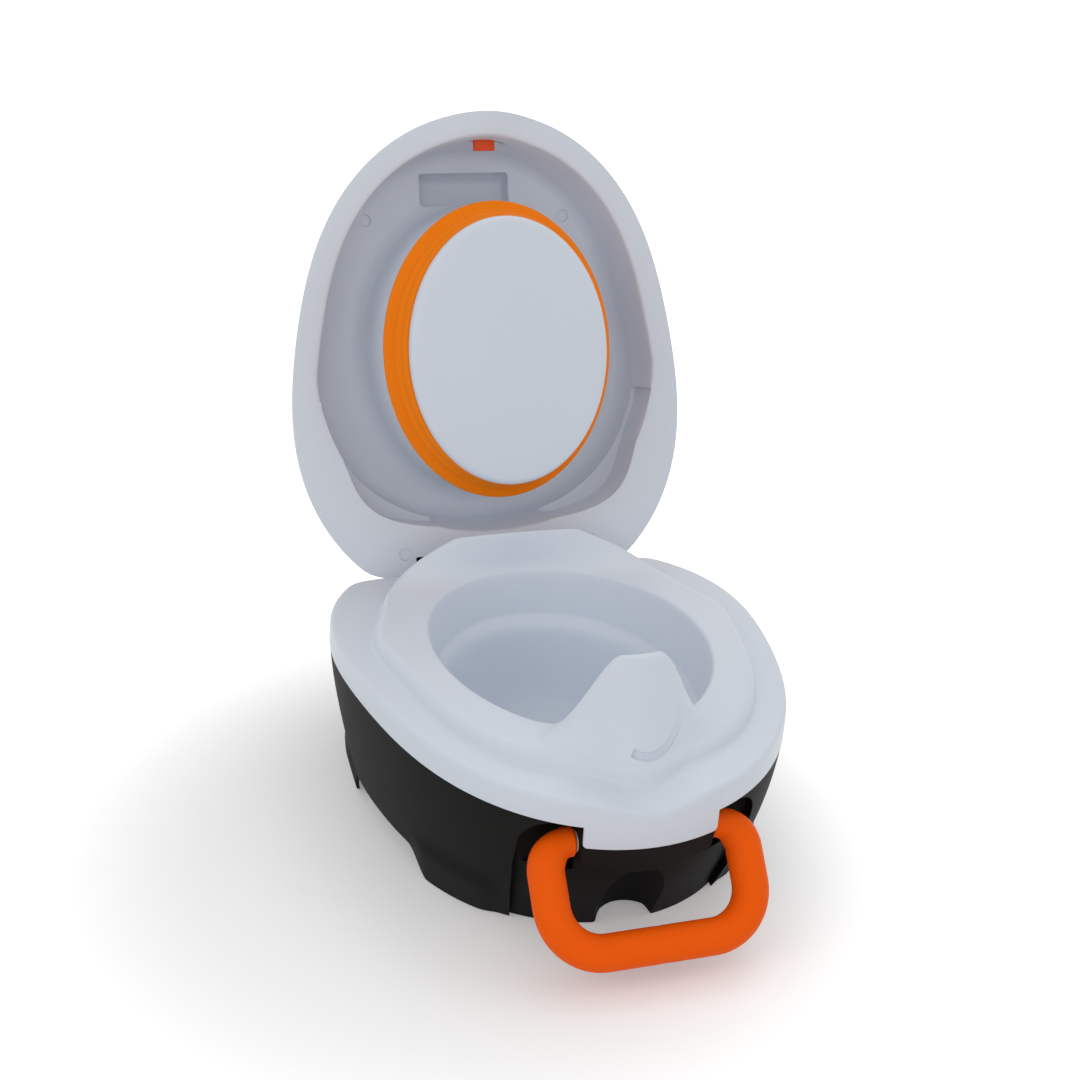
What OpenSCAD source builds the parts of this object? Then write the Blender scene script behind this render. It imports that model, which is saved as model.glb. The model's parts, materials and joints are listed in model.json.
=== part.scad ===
// Portable potty training chair: egg-shaped carry case with a hinged lid,
// a swinging carry handle and a turning lid latch. Millimetres, +Z up,
// -Y is the handle end, +Y the hinge end, origin on the floor under the bowl.
// The lid is drawn open against its stop and the handle hangs forward.

/* [Case outline] */
// mean radius of the egg outline
egg_mean = 147.5; // [140:0.5:152]
// how much fuller the hinge end is
egg_back = 3.5; // [0:0.5:6]
// how much longer than wide the egg is
egg_long = 16; // [12:0.5:19]
// narrowing towards the handle end
egg_nose = 3.9; // [2:0.1:5]
// squareness of the flanks
egg_flat = 1.1; // [0:0.1:2]
// drop of the split line at the handle end
crown_drop = 10; // [6:0.5:12]
// height of the split line above the floor at mid length
deck_h = 110; // [106:1:116]
// distance from the origin to the flat back of the base
base_back = 122; // [120:0.5:123]
// distance from the origin to the flat back of the lid
lid_back = 136.4; // [136:0.1:138]

/* [Base] */
// depth of the white skirt over the shell
skirt_h = 15.4; // [13:0.2:17]
// extra depth of the front tab
tab_drop = 12.8; // [10:0.2:15]
// half width of the front tab
tab_w = 38.9; // [37.9:0.1:38.9]
// wall of the mouldings
wall = 2.6; // [2.2:0.1:3]
// width of the shell at the floor as a share of its width at the skirt
foot_x = 0.866; // [0.84:0.01:0.9]
// length of the shell at the floor as a share of its length at the skirt
foot_y = 0.8; // [0.78:0.01:0.84]
// height of the arches between the feet
arch_h = 20; // [14:1:24]
// height of the bowl floor above the ground
bowl_floor = 23; // [20:1:28]

// height of the upper edge of the panel between the handle's arms
panel_top = 53; // [48:1:56]
// depth of that panel inside the flank
panel_in = 6; // [5:0.5:7]
// half width of the bays for the handle's arms
bay_w = 69; // [68.5:0.5:71]
// how far the feet stand proud
foot_out = 3; // [0:0.5:4]

/* [Seat] */
// half width of the seat opening
open_a = 82; // [80:0.5:83]
// half length of the seat opening
open_b = 100; // [98:0.5:101]
// height of the seat ring over the deck
ring_h = 9; // [7:0.5:11]
// extra height of the ring at the back
ring_back = 25; // [15:1:27]
// height of the splash guard over the deck plane
guard_h = 57; // [45:1:58]

/* [Lid] */
// width of the flat rim of the lid
rim_w = 15; // [14:0.5:16]
// inward lean of the dome from its rim to its top, as a share of its size
lean = 0.12; // [0.1:0.01:0.13]
// height of the dome over the deck plane
dome_h = 76; // [75:0.5:78]
// opening angle of the lid at its stop
lid_open = 107.5; // [95:0.5:110]
// depth of the lid trough over the deck plane
trough_h = 45; // [43:0.5:48]
// half width of the largest gasket lip
lip_a = 76.2; // [75.5:0.1:76.2]
// half length of the largest gasket lip
lip_b = 95.2; // [94.5:0.1:95.2]

/* [Handle] */
// radius of the grip
grip_r = 10.2; // [9:0.1:10.3]
// half span of the grip, centre to centre
grip_w = 57.5; // [56:0.5:59]
// distance from the pivot to the cross bar
grip_l = 61; // [55:0.5:66]
// swing of the handle out from hanging straight down
handle_out = 41; // [41:1:60]

/* [Latch] */
// radius at which the tongue swings
tongue_r = 22; // [21.5:0.1:22.5]
// thickness of the tongue
tongue_t = 3; // [2.5:0.1:3.2]

/* [Hidden] */
facets = 64;
bias = 25;
cup_y = -11;
nose_y = egg_mean - egg_back + egg_long + egg_nose - egg_flat;
gap = 0.4;
rim_t = 3.4;
run_fit = 0.06;
tight_fit = 0.01;
row_y = -40.65;
hinge_y = 128.5;
hinge_z = deck_h - 4.8;
hinge_x = 42;
lug_w = 12;
hinge_pin_r = 2;
knuckle_r = 4.9;
pivot_y = -142.7;
pivot_z = deck_h - 41;
bay_back = pivot_y + 15.2;
bay_floor = pivot_z - 19;
bay_round = 18;
pocket_front = cup_y - open_b - 16.6;
pocket_h = guard_h - trough_h + 2.6;
handle_pin_r = 3;
pad_r = 8;
pad_at = [[62, -92], [76, 76]];
post_at = [[76, -66], [90, 54]];
plate_at = [[68, -81], [83, 66]];
screw_r = 1.75;
head_r = 3.4;
boss_top = deck_h - 22;
knob_x = 3;
knob_z = deck_h + 26;
latch_in = 149.2;
plug_r = 4;
flange_screw = [64, 119];
trough_screw = [69, -98];
cap_screws = [for (s = [-1, 1]) for (y = [-61, 39]) [s * 30, y]];

// ---- outline functions -------------------------------------------------
function ang(i) = 360 * i / facets + bias * sin(360 * i / facets);
function egg_r(a) = egg_mean + egg_back * cos(a) + egg_long * cos(2 * a)
  - egg_nose * cos(3 * a) - egg_flat * cos(4 * a);
function soft(y, y0, r) = y <= y0 ? y : y0 + r * (1 - exp(-(y - y0) / r));
function clampd(v) = max(0, min(1, v));
function step(v, a, b) = let (t = clampd((v - a) / (b - a))) t * t * (3 - 2 * t);
function mix(a, b, t) = a * (1 - t) + b * t;
function egg(a, in) = let (r = egg_r(a) - in) [r * sin(a), r * cos(a)];
function flat_back(p, y0, r) = [p[0], soft(p[1], y0, r)];
function base_o(a, in) = flat_back(egg(a, in), base_back - 10 - in, 10);
function lid_o(a, in) = flat_back(egg(a, in), lid_back - 10 - in, 10);
function recess_o(a, in) = egg(a, rim_w + in + 38 * pow(max(0, cos(a)), 1.35));
function nose(a, w) = let (x = egg_mean * sin(a)) cos(a) < 0 ? 1 - step(abs(x), 0, w) : 0;
function ring_o(a, in) = flat_back(egg(a, 19 + in + 6 * nose(a, 95) - 8 * nose(a, 34)
  + 13 * step(egg_mean * cos(a), 10, 80)), 73.5 - in, 38);
function oval(a, p, q) = [p * sin(a), cup_y + q * cos(a)];
function crown(y) = -crown_drop * pow(y / nose_y, 2);
function rim(y) = deck_h + crown(y);
function dip(a) = 6 * nose(a, 34);
function guard(a) = let (x = abs(open_a * sin(a)))
  cos(a) < 0 ? 1 - 0.9 * step(x, 10, 40) - 0.1 * step(x, 15, 52) : 0;
function at(p, z) = [p[0], p[1], z];
function over(p, h) = [p[0], p[1], rim(p[1]) + h];
function shift(p, dy) = [p[0], p[1] + dy];
function ring_top(p) = ring_h + ring_back * step(p[1], 62, 94) * (1 - clampd((abs(p[0]) - 40) / 56));

// closed surface through a list of rings, with a fan at each end unless looped;
// the faces are turned so that the solid is on the inside
module skin(rings, loop = false) {
  n = len(rings[0]);
  m = len(rings);
  flat = [for (r = rings) each r];
  mid = function (r) [for (k = [0:2]) [for (p = r) p[k]] * [for (p = r) 1] / n];
  pts = loop ? flat : concat(flat, [mid(rings[0]), mid(rings[m - 1])]);
  side = [for (j = [0:(loop ? m - 1 : m - 2)]) for (i = [0:n - 1])
    let (a = j * n + i, b = j * n + (i + 1) % n, c = ((j + 1) % m) * n + (i + 1) % n,
      d = ((j + 1) % m) * n + i) each [[a, c, b], [a, d, c]]];
  ends = loop ? [] : [for (i = [0:n - 1]) each [[m * n, i, (i + 1) % n],
    [m * n + 1, (m - 1) * n + (i + 1) % n, (m - 1) * n + i]]];
  all = concat(side, ends);
  bulk = [for (f = all) cross(pts[f[0]], pts[f[1]]) * pts[f[2]]] * [for (f = all) 1];
  polyhedron(points = pts, convexity = 8,
    faces = bulk < 0 ? all : [for (f = all) [f[0], f[2], f[1]]]);
}

module pairs() {
  for (s = [-1, 1]) scale([s, 1, 1]) children();
}

// +Z outwards through the front of the closed lid, round the latch axis
module on_front() translate([knob_x, 0, knob_z]) rotate([90, 0, 0]) children();

// carries pieces drawn on the closed lid to the open stop
module opened() {
  translate([0, hinge_y, hinge_z]) rotate([-lid_open, 0, 0])
    translate([0, -hinge_y, -hinge_z]) children();
}

// ---- base shell --------------------------------------------------------
// 1 on the feet at the four corners, 0 between them; w is the angle from the hinge end
function foot(a) = let (w = acos(cos(a))) max(step(w, 118, 126) * step(w, 150, 144),
  step(w, 32, 38) * step(w, 78, 72));
function flank(a, in, t) = let (p = base_o(a, in - foot_out * foot(a) * step(t, 0.62, 0.74)),
  u = pow(t, 1.4), v = pow(t, 1.75))
  [p[0] * (1 - (1 - foot_x) * u), p[1] * (1 - (1 - foot_y) * v) - 2 * v,
    mix(rim(base_o(a, in)[1]) - skirt_h - gap, 1, t)];
function shell_rings(in, low, high) = [
  for (t = [1.0, 0.9, 0.78, 0.64, 0.5, 0.34, 0.18, 0])
    [for (i = [0:facets - 1]) let (p = flank(ang(i), in * (1 + step(0.4 - t, 0, 0.4)) + gap, t))
      t == 1 ? at(p, low) : p],
  if (in == 0) [for (i = [0:facets - 1]) let (p = base_o(ang(i), wall + gap))
    over(p, -skirt_h - gap)],
  [for (i = [0:facets - 1])
    over(base_o(ang(i), in == 0 ? wall + gap : in + wall), high - dip(ang(i)))]];

module shell_outer() { skin(shell_rings(0, 1, -7)); }
module shell_inner() { skin(shell_rings(wall, -1, -4)); }

// smooth form a given depth inside the flank
module inside_flank(in) skin([for (t = [1, 0.75, 0.5, 0.25, 0])
  [for (i = [0:facets - 1]) let (p = flank(ang(i), in + gap, t)) t == 1 ? at(p, -5) : p],
  [for (i = [0:facets - 1]) over(base_o(ang(i), in + gap), 5)]]);

// what is cut from the front for the folded handle, the tab and the scoop; t grows it for its wall
module front_cut(t) {
  // panel between the arms, set back and with a bowed upper edge
  difference() {
    rotate([90, 0, 0]) linear_extrude(height = 220) polygon(concat(
      [for (k = [0:6]) let (x = (k - 3) * 13) [x, panel_top + 7 * pow(x / 39, 2) + t]],
      [[bay_w + t, 63 + t], [bay_w + t, 50], [bay_w - 3 + t, 24], [bay_w - 8 + t, -4],
      [-bay_w + 8 - t, -4], [-bay_w + 3 - t, 24], [-bay_w - t, 50], [-bay_w - t, 63 + t]]));
    inside_flank(panel_in + t);
  }
  // thumb scoop under the panel's edge
  translate([0, -148, 6]) scale([22 + t, 30 + t, panel_top - 8 + t]) sphere(r = 1, $fn = 48);
  // bays that the arms fold into, round at their upper outer corner
  pairs() translate([0, bay_back + t, 0]) rotate([90, 0, 0])
    linear_extrude(height = 60) polygon(concat([[tab_w - 0.6 - t, bay_floor - t]],
      [[bay_w + t, bay_floor - t]], [for (b = [0:15:90])
      [bay_w - bay_round + (bay_round + t) * cos(b), bay_floor + bay_round + (bay_round + t) * sin(b)]],
      [[tab_w + 7, bay_floor + 70], [tab_w - 0.6 - t, bay_floor + 70]]));
  // seat of the front tab
  difference() {
    translate([-tab_w - gap - t, -200, deck_h - crown_drop - skirt_h - tab_drop - gap - t])
      cube([2 * (tab_w + gap + t), 120, 60]);
    inside_flank(wall + t);
  }
}

// arch with rounded shoulders, open downwards
module arch(half, h, depth) {
  r = h * 0.6;
  rotate([90, 0, 0]) linear_extrude(height = depth, center = true)
    polygon([[-half - 4, -2],
      for (k = [0:8]) let (b = k / 8) [-half + (b - 1) * 3 + r * b, h * step(b, -0.1, 1)],
      for (k = [8:-1:0]) let (b = k / 8) [half - (b - 1) * 3 - r * b, h * step(b, -0.1, 1)],
      [half + 4, -2]]);
}

// everything that stands inside the shell: backs of the front cuts, feet, posts and housing
module base_blocks() {
  front_cut(wall);
  for (s = [-1, 1]) {
    for (q = plate_at) translate([s * q[0], q[1], -3]) cylinder(r = 27, h = 8, $fn = 64);
    for (q = post_at) translate([s * q[0], q[1], -3]) cylinder(r = 6, h = boss_top + 3, $fn = 48);
  }
  // housing that carries the handle pins
  translate([-tab_w + 2.7, pivot_y - 33, pivot_z - 14]) cube([2 * tab_w - 5.4, 45.7, 60]);
}

module base_shell() color([0.13, 0.13, 0.125]) difference() {
  union() {
    difference() {
      shell_outer();
      difference() { shell_inner(); base_blocks(); }
    }
    // lugs that carry the lid hinge
    pairs() translate([hinge_x - lug_w / 2, 0, 0]) rotate([90, 0, 90]) {
      linear_extrude(height = lug_w) polygon([[112, 58], [112, 86], [hinge_y - knuckle_r, 87],
        [hinge_y - knuckle_r, hinge_z], [hinge_y + knuckle_r, hinge_z],
        [hinge_y + knuckle_r, 88], [122, 58]]);
      translate([hinge_y, hinge_z, 0]) cylinder(r = knuckle_r, h = lug_w, $fn = 48);
    }
  }
  front_cut(0);
  for (s = [-1, 1]) {
    for (q = post_at) translate([s * q[0], q[1], -1]) {
      cylinder(r = head_r + gap, h = boss_top - 5, $fn = 48);
      cylinder(r = screw_r + 0.05, h = boss_top + 2, $fn = 48);
    }
    for (q = pad_at) translate([s * q[0], q[1], -1]) cylinder(r = pad_r + 0.05, h = 4, $fn = 48);
  }
  translate([-60, pivot_y, pivot_z]) rotate([0, 90, 0])
    cylinder(r = handle_pin_r + tight_fit, h = 120, $fn = 48);
  translate([0, hinge_y, hinge_z]) rotate([0, 90, 0])
    cylinder(r = hinge_pin_r + run_fit, h = 140, center = true, $fn = 48);
  translate([0, -150, 0]) arch(16, 6, 90);
  translate([0, 120, 0]) arch(44, arch_h, 90);
  translate([0, -15, 0]) rotate([0, 0, 90]) arch(49, arch_h - 1, 300);
}

// ---- seat and bowl -----------------------------------------------------
function seat_rings() = [for (k = [0:37]) [for (i = [0:facets - 1]) seat_pt(ang(i), k)]];
// bowl inside: half width, half length and depth from the deck plane at each step
cup_steps = [[46, 60, bowl_floor - deck_h], [58, 73, bowl_floor - deck_h + 4], [65, 82, -70],
  [69, 86.8, -50], [71.5, 88.4, -33], [73, 90.2, -28], [76.4, 95.4, -22], [76.8, 95.8, -19],
  [80.6, 98.8, 0]];
function cup_wall(a, k, t) = let (c = cup_steps[k]) at(oval(a, c[0] + t, c[1] + t), deck_h + c[2]);
// point at h over the split line, or at z over the deck plane where it forms the guard
function lift(p, h, g, z) = at(p, mix(rim(p[1]) + h, deck_h + z, g));
function seat_pt(a, k) = let (g = guard(a), out = ring_o(a, 5),
    lip = oval(a, open_a + 2.5, open_b + 2.5), top = ring_top(out), up = (top - ring_h) / ring_back,
    d = dip(a))
  // bowl inside from the floor up, over the lip and the guard, out to the ring
  k <= 8 ? cup_wall(a, k, 0)
  : k == 9 ? lift(shift(oval(a, open_a, open_b), -4 * g), 7.6, g, guard_h - 9)
  : k == 10 ? lift(shift(oval(a, open_a + 0.8, open_b + 0.8), -6 * g), 9.4, g, guard_h - 1.6)
  : k == 11 ? lift(shift(lip, -6.5 * g), 10, g, guard_h)
  : k == 12 ? lift(shift(mix(lip, out, 0.25), -4.5 * g), mix(10, top, 0.18), g, guard_h - 2.6)
  : k == 13 ? lift(shift(mix(lip, out, 0.45), -2 * g), mix(10, top, 0.42), g, mix(8, guard_h, 0.6))
  : k == 14 ? lift(mix(lip, out, 0.72), mix(10, top, 0.74), g, mix(8, guard_h, 0.24))
  : k == 15 ? over(out, top)
  : k == 16 ? over(ring_o(a, 2.4), top - 1.6)
  : k == 17 ? over(ring_o(a, 1), mix(0, top, 0.5) - d * 0.3)
  : k == 18 ? over(ring_o(a, 0), -d * 0.6)
  // deck and skirt
  : k == 19 ? over(base_o(a, 2.4), -d)
  : k == 20 ? over(base_o(a, 0.7), -0.8 - d)
  : k == 21 ? over(base_o(a, 0), -2.6 - d)
  : k == 22 ? over(base_o(a, 0), -skirt_h)
  : k == 23 ? over(base_o(a, wall), -skirt_h)
  // underside, from the skirt back to the bowl
  : k == 24 ? over(base_o(a, wall), -5 - d)
  : k == 25 ? over(base_o(a, 6), -wall - d)
  : k == 26 ? over(ring_o(a, 3), -wall - d * 0.6)
  : k == 27 ? over(ring_o(a, 4), top * 0.4 - wall)
  : k == 28 ? over(ring_o(a, 7 - 3.4 * up), top - wall - 0.6 - 2.4 * up)
  : k == 29 ? lift(shift(mix(lip, out, 0.66), 1.5 * g + 2.3 * up), mix(10, top, 0.7) - wall, g,
      mix(8, guard_h, 0.24) - wall)
  : k == 30 ? lift(shift(mix(lip, out, 0.42), 2.3 * up - 0.5 * g), mix(10, top, 0.38) - wall, g,
      mix(8, guard_h, 0.56) - wall)
  : k == 31 ? lift(shift(mix(lip, out, 0.24), 2 * up - 4 * g), mix(10, top, 0.16) - wall, g,
      guard_h - 5 - wall)
  : k == 32 ? lift(shift(oval(a, open_a + 3.4, open_b + 3.4), -5.2 * g), 9.6 - wall, g,
      guard_h - 5 - wall)
  : k == 33 ? cup_wall(a, 8, wall)
  : k == 34 ? cup_wall(a, 6, wall + 0.2)
  : k == 35 ? cup_wall(a, 4, wall + 0.2)
  : k == 36 ? cup_wall(a, 2, wall) - [0, 0, 1]
  : cup_wall(a, 0, wall + 4) - [0, 0, wall];

// angle round the latch axis, and how far forward the floor of the tongue's slot lies there
slot_floor = [[-118, 135.6], [-104, 137.2], [-90, 137.3], [-75, 136], [-60, 132.9],
  [-45, 129.4], [-30, 126], [-19, 124.4], [-8, 123.3]];

module seat_bowl() color([0.86, 0.88, 0.92]) difference() {
  union() {
    skin(seat_rings());
    // front tab below the skirt
    intersection() {
      skin([for (q = [[wall + 0.1, 1.6], [0, 1.6], [0, 1.5 - tab_drop], [0.8, -tab_drop],
          [wall, -tab_drop]])
          [for (i = [0:facets - 1]) over(base_o(ang(i), q[0]), q[1] - skirt_h)]], loop = true);
      translate([-tab_w, -200, 0]) cube([2 * tab_w, 120, 200]);
    }
    // screw bosses that stand on the posts of the base
    for (s = [-1, 1]) for (q = post_at) translate([s * q[0], q[1], boss_top + gap])
      cylinder(r = 5, h = deck_h + ring_h - 2.5 - boss_top, $fn = 48);
  }
  for (s = [-1, 1]) for (q = post_at) translate([s * q[0], q[1], boss_top - 1])
    cylinder(r = screw_r + tight_fit, h = 17, $fn = 48);
  // curved slot in the guard that the latch tongue turns into
  skin([for (b = [-118:5:-8]) let (f = lookup(b, slot_floor))
    [for (q = [[-2.2, f], [2.2, f], [2.2, 165], [-2.2, 165]])
      [knob_x + (tongue_r + q[0]) * cos(b), -q[1], knob_z + (tongue_r + q[0]) * sin(b)]]]);
}

module foot_pads() color([0.08, 0.08, 0.08]) for (s = [-1, 1]) for (q = pad_at)
  translate([s * q[0], q[1], 0]) cylinder(r = pad_r, h = 2.9, $fn = 48);

module base_screws() color([0.6, 0.6, 0.62]) for (s = [-1, 1]) for (q = post_at)
  translate([s * q[0], q[1], boss_top - 9.2]) {
    cylinder(r = head_r, h = 3.1, $fn = 48);
    cylinder(r = screw_r, h = 20, $fn = 48);
  }

// ---- handle ------------------------------------------------------------
function bend(cx, cy, r, a0, a1, n) = [for (k = [0:n]) let (b = a0 + (a1 - a0) * k / n)
  [cx + r * cos(b), cy + r * sin(b)]];
function grip_line() = let (half = concat([[tab_w + 0.8, 0], [tab_w + 1.6, 0]],
    bend(grip_w - 15, 15, 15, -90, 0, 6), bend(grip_w - 26, grip_l - 26, 26, 0, 90, 8)),
    n = len(half)) concat([for (k = [0:n - 1]) half[k]],
    [for (k = [n - 1:-1:0]) [-half[k][0], half[k][1]]]);
function grip_size(s, x, last) = min(last ? 7.4 : 99, mix(8.5, grip_r, step(s + abs(x) - tab_w, 6, 26)));
module grip() {
  line = grip_line();
  n = len(line);
  skin([for (k = [0:n - 1]) let (p = line[k], e = k == 0 || k == n - 1,
      d = line[min(n - 1, k + 1)] - line[max(0, k - 1)], u = d / norm(d),
      r = grip_size(p[1], p[0], e))
    [for (i = [0:19]) let (b = -i * 18, w = r * cos(b))
      [p[0] - u[1] * w, r * sin(b), -(p[1] + u[0] * w)]]]);
}

module handle() color([0.93, 0.38, 0.08]) translate([0, pivot_y, pivot_z]) difference() {
  rotate([-handle_out, 0, 0]) grip();
  rotate([0, 90, 0]) cylinder(r = handle_pin_r + run_fit, h = 104, center = true, $fn = 48);
}

module handle_pins() color([0.62, 0.63, 0.65]) for (s = [-1, 1])
  translate([s > 0 ? 22 : -51.5, pivot_y, pivot_z]) rotate([0, 90, 0])
    cylinder(r = handle_pin_r, h = 29.5, $fn = 48);

module handle_washers() color([0.85, 0.85, 0.82]) for (s = [-1, 1])
  translate([s * 39, pivot_y, pivot_z]) rotate([0, 90, 0]) difference() {
    cylinder(r = 6.5, h = 1, center = true, $fn = 48);
    cylinder(r = handle_pin_r + tight_fit, h = 3, center = true, $fn = 48);
  }

// ---- lid ---------------------------------------------------------------
function dome(a, in, u, h) = let (p = lid_o(a, in + 1), s = pow(sin(u), 0.36),
  k = pow(cos(u), 0.36) * (1 - lean * s))
  [p[0] * k, p[1] * k - 4 * (1 - k), mix(rim(p[1]) + rim_t, deck_h + h, s)];
function dome_rings(in, h, low) = concat(
  [[for (i = [0:facets - 1]) over(lid_o(ang(i), in + 1), low)]],
  [for (u = [0.2, 4, 14, 28, 44, 60, 74, 83, 87.5])
    [for (i = [0:facets - 1]) dome(ang(i), in, u, h)]]);

module dome_outer() { skin(dome_rings(0, dome_h, rim_t)); }

module lid_blocks() {
  pairs() {
    translate([flange_screw[0], flange_screw[1], deck_h + 1.5]) cylinder(r = 4.5, h = 80, $fn = 48);
    translate([trough_screw[0], trough_screw[1], deck_h + trough_h + 6.5])
      cylinder(r = 4.5, h = 40, $fn = 48);
    translate([hinge_x - 14.2, hinge_y - knuckle_r, hinge_z]) cube([28.4, 20, 13]);
  }
  on_front() translate([0, 0, latch_in + 1.9]) cylinder(r = 17, h = 30, $fn = 64);
}

module lid_shell() color([0.13, 0.13, 0.125]) opened() difference() {
  union() {
    difference() {
      union() {
        dome_outer();
        // seat of the latch knob
        on_front() translate([0, 0, latch_in + 2]) cylinder(r = 15.8, h = 4.5, $fn = 64);
      }
      difference() { skin(dome_rings(wall, dome_h - wall, rim_t - 2)); lid_blocks(); }
    }
    pairs() translate([hinge_x - 14.2, hinge_y, hinge_z]) rotate([0, 90, 0])
      cylinder(r = knuckle_r, h = 28.4, $fn = 48);
  }
  pairs() {
    translate([hinge_x - lug_w / 2 - gap, hinge_y - 12, hinge_z - 12])
      cube([lug_w + 2 * gap, 30, 21]);
    translate([flange_screw[0], flange_screw[1], deck_h])
      cylinder(r = screw_r + tight_fit, h = 22, $fn = 48);
    translate([trough_screw[0], trough_screw[1], deck_h])
      cylinder(r = screw_r + tight_fit, h = dome_h - 8, $fn = 48);
  }
  translate([0, hinge_y, hinge_z]) rotate([0, 90, 0])
    cylinder(r = hinge_pin_r + tight_fit, h = 140, center = true, $fn = 48);
  on_front() {
    translate([0, 0, latch_in - 5]) {
      cylinder(r = 4 + run_fit, h = 40, $fn = 48);
      cylinder(r = 6.4, h = 6.9, $fn = 48);
    }
    translate([0, 0, latch_in + 6.5]) cylinder(r = 14.5, h = 30, $fn = 64);
  }
}

// visible side from the end of the plug out to the flange, then back behind it
function liner_rings() = [for (k = [0:21]) [for (i = [0:facets - 1]) liner_pt(ang(i), k)]];
function liner_pt(a, k) =
  k == 0 ? at(oval(a, 61, 80.4), deck_h - 40)
  : k == 1 ? at(oval(a, 64, 83.4), deck_h - 7)
  : k == 2 ? at(oval(a, 71.5, 91), deck_h - 7)
  : k == 3 ? at(oval(a, 73.8, 93.2), deck_h + trough_h - 15)
  : k == 4 ? at(oval(a, 76, 95.4), deck_h + trough_h - 5)
  : k == 5 ? at(mix(recess_o(a, 13), oval(a, 80, 99), 0.8), deck_h + trough_h)
  : k == 6 ? at(recess_o(a, 13), deck_h + trough_h)
  : k == 7 ? at(recess_o(a, 8), deck_h + trough_h - 3)
  : k == 8 ? at(recess_o(a, 5), deck_h + trough_h - 9)
  : k == 9 ? at(recess_o(a, 3), deck_h + 18)
  : k == 10 ? over(recess_o(a, 1.2), 2)
  : k == 11 ? over(recess_o(a, 0), gap - 0.7 * dip(a))
  : k == 12 ? over(lid_o(a, 0), gap - dip(a))
  : k == 13 ? over(lid_o(a, 0), rim_t - gap)
  : k == 14 ? over(recess_o(a, -1.6), rim_t - gap)
  : k == 15 ? at(recess_o(a, 0.6), deck_h + trough_h - 12)
  : k == 16 ? at(recess_o(a, 8), deck_h + trough_h + 2.4)
  : k == 17 ? at(oval(a, 77, 96.4), deck_h + trough_h + 2)
  : k == 18 ? at(oval(a, 71.6, 91), deck_h + trough_h - 12)
  : k == 19 ? at(oval(a, 69, 88.6), deck_h - 4.6)
  : k == 20 ? at(oval(a, 61.6, 81), deck_h - 4.6)
  : at(oval(a, 58.6, 78), deck_h - 37.4);

// blocks round the back corners of the seat ring, from below the rim to their top, outside
// the recess by `edge`; t grows them for their walls
module corner_pockets(t, edge, below, above) difference() {
  intersection() {
    skin([[for (i = [0:facets - 1]) over(ring_o(ang(i), -1.6 - t), 0.8 - below)],
      [for (i = [0:facets - 1]) at(ring_o(ang(i), -1.6 - t), deck_h + 28 + above)]]);
    pairs() translate([38 - t, 20 - t, deck_h - 30]) cube([80, 110, 80]);
  }
  skin([[for (i = [0:facets - 1]) over(recess_o(ang(i), edge), -30)],
    [for (i = [0:facets - 1]) over(recess_o(ang(i), edge), -9)],
    [for (i = [0:facets - 1]) at(recess_o(ang(i), edge + 2.2), deck_h + 40)]]);
}

// block the shape of the pocket, grown by t and starting low over the trough
module pocket(half, t, low) translate([-half, 0, deck_h + trough_h]) rotate([90, 0, 90])
  linear_extrude(height = 2 * half) polygon([[pocket_front + 21.6 + t, low],
    [pocket_front + 21.6 + t, pocket_h + t], [pocket_front + 5 - t * 0.4, pocket_h + t],
    [pocket_front - t, pocket_h - 6.6 + t * 0.4], [pocket_front - t, low]]);

module lid_liner() color([0.86, 0.88, 0.92]) opened() difference() {
  union() {
    skin(liner_rings());
    corner_pockets(2.6, 0.4, 0, 2.6);
    // pocket over the splash guard
    pocket(33, 2, 0.2);
    pairs() {
      translate([flange_screw[0], flange_screw[1], rim(flange_screw[1]) + 0.6])
        cylinder(r = 6, h = 6, $fn = 48);
      translate([trough_screw[0], trough_screw[1], deck_h + trough_h + 0.4])
        cylinder(r = 6, h = 5.6, $fn = 48);
    }
  }
  corner_pockets(0, 4, 20, 0);
  pocket(31, 0, -10);
  pairs() {
    translate([flange_screw[0], flange_screw[1], deck_h - 10]) {
      cylinder(r = screw_r + 0.05, h = 20, $fn = 48);
      cylinder(r = plug_r + 0.05, h = 14.4 + crown(flange_screw[1]), $fn = 48);
    }
    translate([trough_screw[0], trough_screw[1], deck_h]) {
      cylinder(r = screw_r + 0.05, h = 70, $fn = 48);
      cylinder(r = plug_r + 0.05, h = trough_h + 4.4, $fn = 48);
    }
    translate([hinge_x - 15, hinge_y - 7, deck_h - 20]) cube([30, 30, 40]);
  }
  // arc slot for the latch tongue
  translate([knob_x, -130, knob_z]) rotate([90, 0, 0]) rotate([0, 0, -110])
    rotate_extrude(angle = 70, $fn = 96)
    translate([tongue_r - tongue_t / 2 - 0.8, 0]) square([tongue_t + 1.6, 26]);
  for (q = cap_screws) translate([q[0], q[1], deck_h - 42])
    cylinder(r = screw_r + 0.05, h = 8, $fn = 48);
}

module plug_cap() color([0.86, 0.88, 0.92]) opened() difference() {
  skin([for (q = [[60, 0], [63.4, 0.7], [65, 2.8], [65, 7.4], [62, 7.6]])
    [for (i = [0:facets - 1]) at(oval(ang(i), q[0], q[0] + 19.6), deck_h - 49 + q[1])]]);
  for (q = cap_screws) translate([q[0], q[1], deck_h - 46])
    cylinder(r = screw_r + tight_fit, h = 8, $fn = 48);
}

module plug_screws() color([0.6, 0.6, 0.62]) opened()
  for (q = cap_screws) translate([q[0], q[1], deck_h - 45.4]) {
    cylinder(r = screw_r, h = 10, $fn = 48);
    translate([0, 0, 8.4]) cylinder(r = head_r, h = 2.4, $fn = 48);
  }

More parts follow.
